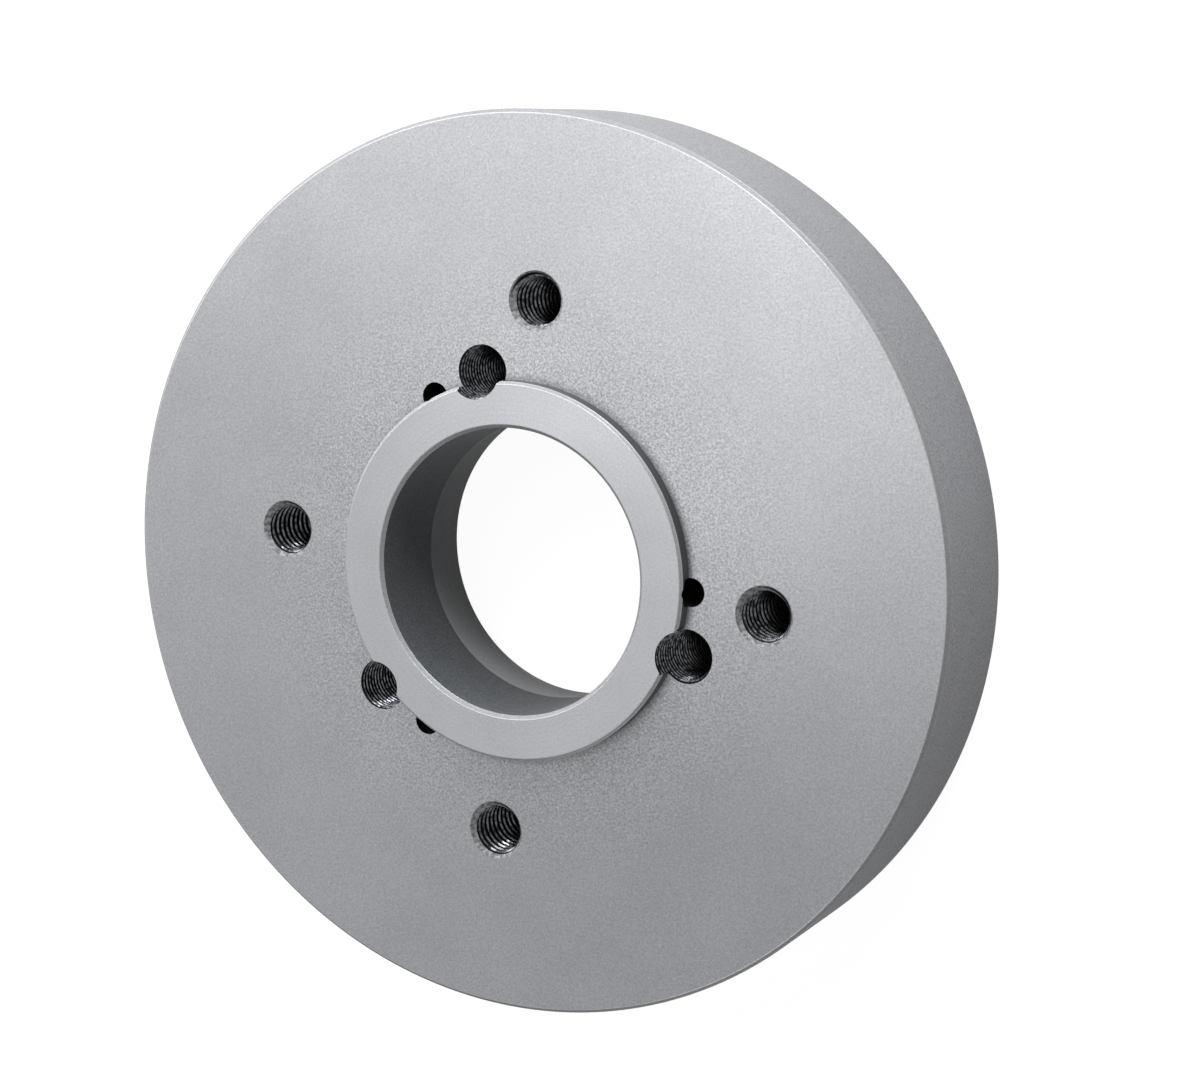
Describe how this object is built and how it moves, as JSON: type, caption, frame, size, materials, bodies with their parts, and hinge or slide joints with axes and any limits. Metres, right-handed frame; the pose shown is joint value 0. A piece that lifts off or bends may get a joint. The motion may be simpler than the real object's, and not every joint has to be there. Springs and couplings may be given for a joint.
{
  "type": "chuck backplate",
  "caption": "Round machined plate with a raised register and through bore that carries a lathe chuck on a cam-lock spindle nose.",
  "frame": {"origin": "centre of the back face, which meets the spindle nose and on which the plate lies", "axes": "+Z along the spindle axis, from the back face towards the register; +Y towards one of the cam stud holes"},
  "size_m": [0.16, 0.16, 0.03],
  "materials": {
    "plate": "machined and fine blasted, satin light grey"
  },
  "bodies": {
    "root": {"backplate": "plate"}
  },
  "joints": []
}
